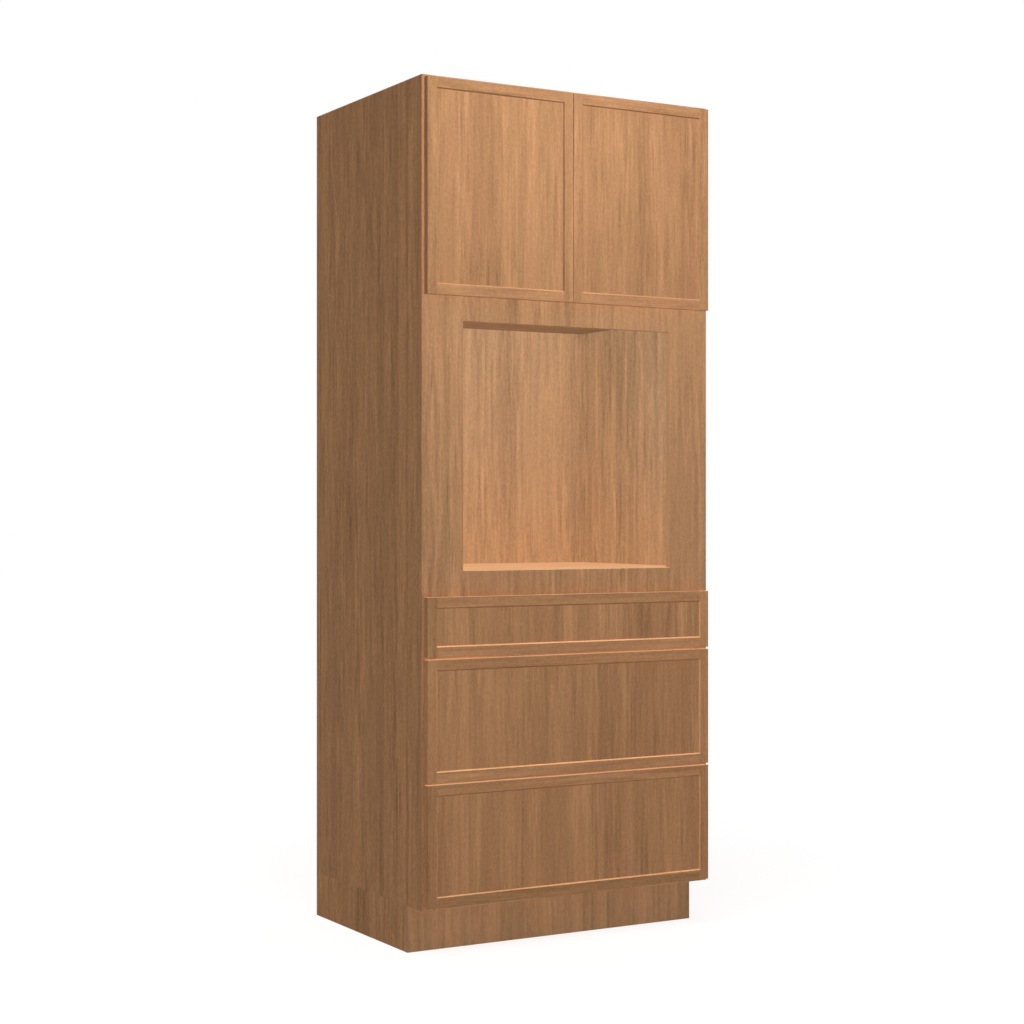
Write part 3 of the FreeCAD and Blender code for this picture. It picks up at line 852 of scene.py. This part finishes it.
def cross_loop(mesh, reach, half_width, height):
    """The outline of a cross, as a loop of edges."""
    corner = [(half_width, reach), (half_width, half_width), (reach, half_width)]
    points = []
    for quarter in range(4):
        turn = Matrix.Rotation(-quarter * math.pi / 2, 2)
        points += [turn @ Vector(point) for point in corner]
    vertices = [mesh.verts.new((point.x, point.y, height)) for point in points]
    return [mesh.edges.new((vertices[i - 1], vertices[i])) for i in range(len(vertices))]


def screw_head(radius, height, count=20):
    """Domed head on the XY plane with a cross recess in its crown, facing +Z."""
    mesh = bmesh.new()
    rings = turned_rings(mesh, radius, height, HEAD_PROFILE, count)
    cross = cross_loop(mesh, radius * CROSS_REACH, radius * CROSS_WIDTH, height)
    bmesh.ops.triangle_fill(mesh, use_beauty=True, edges=rings[-1] + cross)
    sunk = bmesh.ops.extrude_edge_only(mesh, edges=cross)["geom"]
    vertices = [item for item in sunk if isinstance(item, bmesh.types.BMVert)]
    bmesh.ops.translate(mesh, verts=vertices, vec=(0, 0, -CROSS_DEPTH * height))
    bmesh.ops.edgeloop_fill(mesh, edges=[item for item in sunk if isinstance(item, bmesh.types.BMEdge)
                                         and all(vertex in vertices for vertex in item.verts)])
    bmesh.ops.edgeloop_fill(mesh, edges=rings[0])
    bmesh.ops.recalc_face_normals(mesh, faces=mesh.faces)
    return mesh


def place_copies(part, places, direction):
    """One mesh holding a copy of a part at each place, its +Z turned to a direction."""
    data = bpy.data.meshes.new("part")
    part.to_mesh(data)
    part.free()
    turn = Vector(direction).to_track_quat("Z", "Y").to_matrix().to_4x4()
    group = bmesh.new()
    for place in places:
        before = len(group.verts)
        group.from_mesh(data)
        group.verts.ensure_lookup_table()
        bmesh.ops.transform(group, matrix=Matrix.Translation(place) @ turn, verts=group.verts[before:])
    bpy.data.meshes.remove(data)
    return group


def add_groups(groups):
    """Several meshes joined into one."""
    whole = bmesh.new()
    for group in groups:
        data = bpy.data.meshes.new("group")
        group.to_mesh(data)
        group.free()
        whole.from_mesh(data)
        bpy.data.meshes.remove(data)
    return whole


def fit_hinges(door):
    """Nickel on the moving parts of one door's hinges, and the screws of its cups."""
    sizes = bpy.context.scene.oven_unit_fittings
    finish_node(door + "_hinge_cups", nickel())
    finish_node(door + "_hinge_links", nickel())
    places = []
    for low, high in solid_boxes(door + "_hinge_cups"):
        centre = (low + high) / 2
        reach = (high.z - low.z) / 2 - CUP_SCREW_INSET
        places += [Vector((centre.x, high.y, centre.z + side * reach)) for side in (-1, 1)]
    head = screw_head(sizes.cup_screw_radius, sizes.cup_screw_height)
    screws = place_copies(head, places, (0, 1, 0))
    new_piece(door + "_cup_screws", screws, nickel(), body_of(door + "_stiles"), "nickel_plated_steel")


def fit_frame_hinges():
    """Hinge plates on the face frame, and screws with real heads in them."""
    finish_node("hinge_plates", nickel())
    groups = []
    for low, high in solid_boxes("hinge_screws"):
        inward = 1 if low.x < 0 else -1
        radius = (high.z - low.z) / 2
        face_x = high.x if inward > 0 else low.x
        head = screw_head(radius, HINGE_HEAD_HEIGHT)
        base = Vector((face_x - inward * HINGE_HEAD_HEIGHT, (low.y + high.y) / 2, (low.z + high.z) / 2))
        groups.append(place_copies(head, [base], (inward, 0, 0)))
    piece = new_piece("hinge_screw_heads", add_groups(groups), nickel(), "cabinet", "nickel_plated_steel")
    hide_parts("hinge_screws")


def fit_bumpers():
    """Soft bumpers with a rounded rim where the fronts close on the frame."""
    groups = []
    for low, high in solid_boxes("front_bumpers"):
        dome = bmesh.new()
        rings = turned_rings(dome, (high.x - low.x) / 2, high.y - low.y, BUMPER_PROFILE, 24)
        bmesh.ops.edgeloop_fill(dome, edges=rings[0])
        bmesh.ops.edgeloop_fill(dome, edges=rings[-1])
        bmesh.ops.recalc_face_normals(dome, faces=dome.faces)
        seat = Vector(((low.x + high.x) / 2, high.y, (low.z + high.z) / 2))
        groups.append(place_copies(dome, [seat], (0, -1, 0)))
    piece = new_piece("front_bumpers_domed", add_groups(groups), clear_plastic(), "cabinet", "clear_plastic")
    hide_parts("front_bumpers")


def fit_drawer(name):
    """Screws that hold the front on, screws in the slides and the levers that release them."""
    sizes = bpy.context.scene.oven_unit_fittings
    low, high = solid_boxes(name + "_box_ends")[0]
    rows = [low.z + (high.z - low.z) * share for share in FRONT_SCREW_ROWS]
    columns = [x * side for x in FRONT_SCREW_COLUMNS for side in (-1, 1)]
    places = [Vector((x, high.y, z)) for x in columns for z in rows]
    head = screw_head(sizes.pan_radius, sizes.pan_height)
    front_screws = place_copies(head, places, (0, 1, 0))
    new_piece(name + "_front_screws", front_screws, nickel(), name, "nickel_plated_steel")

    screws, levers = [], []
    for low, high in solid_boxes(name + "_slide_inner"):
        side = -1 if low.x < 0 else 1
        web = (high.x if side < 0 else low.x) + side * SLIDE_SHEET
        middle = (low.z + high.z) / 2
        length = high.y - low.y
        places = [Vector((web, low.y + length * share, middle)) for share in SLIDE_SCREWS]
        head = screw_head(sizes.slide_screw_radius, sizes.slide_screw_height)
        screws.append(place_copies(head, places, (side, 0, 0)))
        levers.append(release_lever(Vector((web, low.y + length * LEVER_START, middle)), side))
    new_piece(name + "_slide_screws", add_groups(screws), nickel(), name, "nickel_plated_steel")
    new_piece(name + "_slide_levers", add_groups(levers), zinc(), name, "zinc_plated_steel")


def release_lever(start, side):
    """Pressed tongue along a slide's web, with round ends, its far end bent away from the web."""
    sizes = bpy.context.scene.oven_unit_fittings
    half_width = sizes.lever_width / 2
    lever = bmesh.new()
    loops = []
    for step in range(LEVER_STEPS + 1):
        along = sizes.lever_length * (1 - math.cos(math.pi * step / LEVER_STEPS)) / 2
        from_end = min(along, sizes.lever_length - along, half_width)
        width = max(math.sqrt(half_width ** 2 - (half_width - from_end) ** 2), half_width * LEVER_END)
        inner = sizes.lever_lift * (along / sizes.lever_length) ** 2
        outer = inner + sizes.lever_sheet
        corners = ((-width, inner), (width, inner), (width, outer), (-width, outer))
        loops.append([lever.verts.new(start + Vector((side * out, along, up))) for up, out in corners])
    for near, far in zip(loops, loops[1:]):
        for i in range(4):
            lever.faces.new((near[i - 1], near[i], far[i], far[i - 1]))
    for end in (loops[0], loops[-1]):
        lever.faces.new(end)
    bmesh.ops.recalc_face_normals(lever, faces=lever.faces)
    return lever


# ---------------------------------------------------------------- studio

def flat_floor():
    """A grey floor that the camera sees as white but for the cabinet's soft shadow."""
    mesh = bmesh.new()
    bmesh.ops.create_grid(mesh, x_segments=1, y_segments=1, size=FLOOR_REACH)
    data = bpy.data.meshes.new("studio_floor")
    mesh.to_mesh(data)
    mesh.free()
    floor = bpy.data.objects.new("studio_floor", data)
    bpy.context.scene.collection.objects.link(floor)
    shader = Shader("studio_floor")
    glow = shader.mix(shader.seen_straight(), (0, 0, 0), (FLOOR_GLOW, FLOOR_GLOW, FLOOR_GLOW))
    shader.finish(
        Base_Color=(FLOOR_GREY, FLOOR_GREY, FLOOR_GREY, 1), Roughness=0.9, Specular_IOR_Level=0.0,
        Emission_Color=glow, Emission_Strength=1.0)
    data.materials.append(shader.material)
    floor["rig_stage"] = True
    return floor


def white_surround(strength):
    """A dim world light that the camera, mirrors and clear plastic see as white."""
    world = bpy.data.worlds.new("studio_world")
    bpy.context.scene.world = world
    nodes = Nodes(world)
    level = nodes.math("MAXIMUM", nodes.seen_straight(), strength)
    background = nodes.node("ShaderNodeBackground", {}, {"Color": (1, 1, 1, 1), "Strength": level})
    nodes.node("ShaderNodeOutputWorld", {}, {"Surface": background.outputs[0]})


def add_lamp(name, kind, strength, place=(0, 0, 0), direction=(0, 0, -1)):
    """A lamp that casts no shadow."""
    lamp = bpy.data.lights.new(name, kind)
    lamp.energy = strength
    lamp.use_shadow = False
    holder = bpy.data.objects.new(name, lamp)
    holder.location = place
    holder.rotation_euler = Vector(direction).to_track_quat("-Z", "Y").to_euler()
    bpy.context.scene.collection.objects.link(holder)
    return holder


def link_lamp(holder, floor, state):
    """Let a lamp light the floor alone with INCLUDE, or all but the floor with EXCLUDE."""
    receivers = bpy.data.collections.new(holder.name + "_receivers")
    receivers.objects.link(floor)
    holder.light_linking.receiver_collection = receivers
    receivers.collection_objects[0].light_linking.link_state = state


def small_lamp(name, place, strength, falloff, floor):
    """A small lamp for all but the floor, with its own falloff over distance."""
    holder = add_lamp(name, "POINT", 1.0, place)
    holder.data.shadow_soft_size = SMALL_LAMP_RADIUS
    link_lamp(holder, floor, "EXCLUDE")
    nodes = Nodes(holder.data)
    level = nodes.node("ShaderNodeLightFalloff", {}, {"Strength": strength}).outputs[falloff]
    emission = nodes.node("ShaderNodeEmission", {}, {"Strength": level})
    nodes.node("ShaderNodeOutputLight", {}, {"Surface": emission.outputs[0]})


def light_studio(floor):
    """Soft light from four sides, two small lamps before the doors, and the floor's own with its shadow."""
    studio = bpy.context.scene.oven_unit_studio
    soft = {
        "soft_light_left": ((1, 0, 0), studio.side_light),
        "soft_light_right": ((-1, 0, 0), studio.far_side_light),
        "soft_light_back": ((0, -1, 0), studio.far_side_light),
        "soft_light_top": ((0, 0, -1), studio.top_light),
    }
    for name, (direction, strength) in soft.items():
        holder = add_lamp(name, "SUN", strength, direction=direction)
        holder.data.angle = SOFT_ANGLE
        holder.visible_glossy = False  # no white sheen on an open door that it grazes
    shadow_lamp = add_lamp("floor_lamp", "SUN", studio.floor_light, direction=(0.35, 0.5, -1))
    shadow_lamp.data.angle = SHADOW_ANGLE
    shadow_lamp.data.use_shadow = True
    link_lamp(shadow_lamp, floor, "INCLUDE")
    small_lamp("door_lamp", studio.lamp_place, studio.lamp_strength, "Constant", floor)
    small_lamp("high_lamp", studio.high_lamp_place, studio.high_lamp_strength, "Quadratic", floor)


def aim_camera():
    """The level camera of the studio."""
    studio = bpy.context.scene.oven_unit_studio
    camera = bpy.data.objects.new("camera", bpy.data.cameras.new("camera"))
    camera.location = studio.camera_place
    camera.rotation_euler = (math.pi / 2, 0, studio.camera_turn)
    camera.data.lens = studio.camera_lens
    camera.data.sensor_width = SENSOR_WIDTH
    bpy.context.scene.collection.objects.link(camera)
    bpy.context.scene.camera = camera


# ---------------------------------------------------------------- operators

class OVENUNIT_OT_stage(bpy.types.Operator):
    """Add the camera, the lamps, the floor and the white surround"""

    bl_idname = "oven_unit.stage"
    bl_label = "Studio"

    def execute(self, context):
        aim_camera()
        floor = flat_floor()
        white_surround(context.scene.oven_unit_studio.surround)
        light_studio(floor)
        context.scene.view_settings.view_transform = "Standard"
        return {"FINISHED"}


class OVENUNIT_OT_carcass(bpy.types.Operator):
    """Finish the sides, top, back and decks"""

    bl_idname = "oven_unit.carcass"
    bl_label = "Carcass"

    def execute(self, context):
        dress_carcass()
        return {"FINISHED"}


class OVENUNIT_OT_shelf(bpy.types.Operator):
    """Finish the cupboard shelf and its pins"""

    bl_idname = "oven_unit.shelf"
    bl_label = "Shelf"

    def execute(self, context):
        dress_shelf()
        return {"FINISHED"}


class OVENUNIT_OT_plinth(bpy.types.Operator):
    """Finish the recessed base"""

    bl_idname = "oven_unit.plinth"
    bl_label = "Plinth"

    def execute(self, context):
        dress_plinth()
        return {"FINISHED"}


class OVENUNIT_OT_face_frame(bpy.types.Operator):
    """Finish the face frame, its front panel and its bumpers"""

    bl_idname = "oven_unit.face_frame"
    bl_label = "Face Frame"

    def execute(self, context):
        dress_face_frame()
        fit_bumpers()
        return {"FINISHED"}


class OVENUNIT_OT_doors(bpy.types.Operator):
    """Finish both doors and their hinges"""

    bl_idname = "oven_unit.doors"
    bl_label = "Doors"

    def execute(self, context):
        for door, board in DOORS.items():
            dress_front(door, board, "front")
            fit_hinges(door)
        fit_frame_hinges()
        return {"FINISHED"}


class OVENUNIT_OT_drawers(bpy.types.Operator):
    """Finish the three drawers, their boxes and their slides"""

    bl_idname = "oven_unit.drawers"
    bl_label = "Drawers"

    def execute(self, context):
        for drawer, board in DRAWERS.items():
            dress_drawer(drawer, board)
            fit_drawer(drawer)
        return {"FINISHED"}


OPERATORS = (
    OVENUNIT_OT_stage,
    OVENUNIT_OT_carcass,
    OVENUNIT_OT_shelf,
    OVENUNIT_OT_plinth,
    OVENUNIT_OT_face_frame,
    OVENUNIT_OT_doors,
    OVENUNIT_OT_drawers,
)


class OVENUNIT_PT_panel(bpy.types.Panel):
    """The settings and the steps that use them."""

    bl_label = "Oven Housing Unit"
    bl_idname = "OVENUNIT_PT_panel"
    bl_space_type = "VIEW_3D"
    bl_region_type = "UI"
    bl_category = "Oven Housing"

    def draw(self, context):
        for name, group in SETTINGS.items():
            box = self.layout.box()
            box.label(text=group.__doc__)
            for prop in group.__annotations__:
                box.prop(getattr(context.scene, name), prop)
        for operator in OPERATORS:
            self.layout.operator(operator.bl_idname)


CLASSES = tuple(SETTINGS.values()) + OPERATORS + (OVENUNIT_PT_panel,)


def register():
    """Add the classes and the scene's settings."""
    for cls in CLASSES:
        bpy.utils.register_class(cls)
    for name, group in SETTINGS.items():
        setattr(bpy.types.Scene, name, PointerProperty(type=group))


def unregister():
    """Take the settings and the classes away again."""
    for name in SETTINGS:
        delattr(bpy.types.Scene, name)
    for cls in reversed(CLASSES):
        bpy.utils.unregister_class(cls)


def main():
    """Build everything in order, then gather the two boxes."""
    register()
    bpy.ops.oven_unit.stage()
    bpy.ops.oven_unit.carcass()
    bpy.ops.oven_unit.shelf()
    bpy.ops.oven_unit.plinth()
    bpy.ops.oven_unit.face_frame()
    bpy.ops.oven_unit.doors()
    bpy.ops.oven_unit.drawers()
    boxes = {name: [list(corner) for corner in box] for name, box in (("cad", cad_box), ("visual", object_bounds()))}


if __name__ == "__main__":
    main()
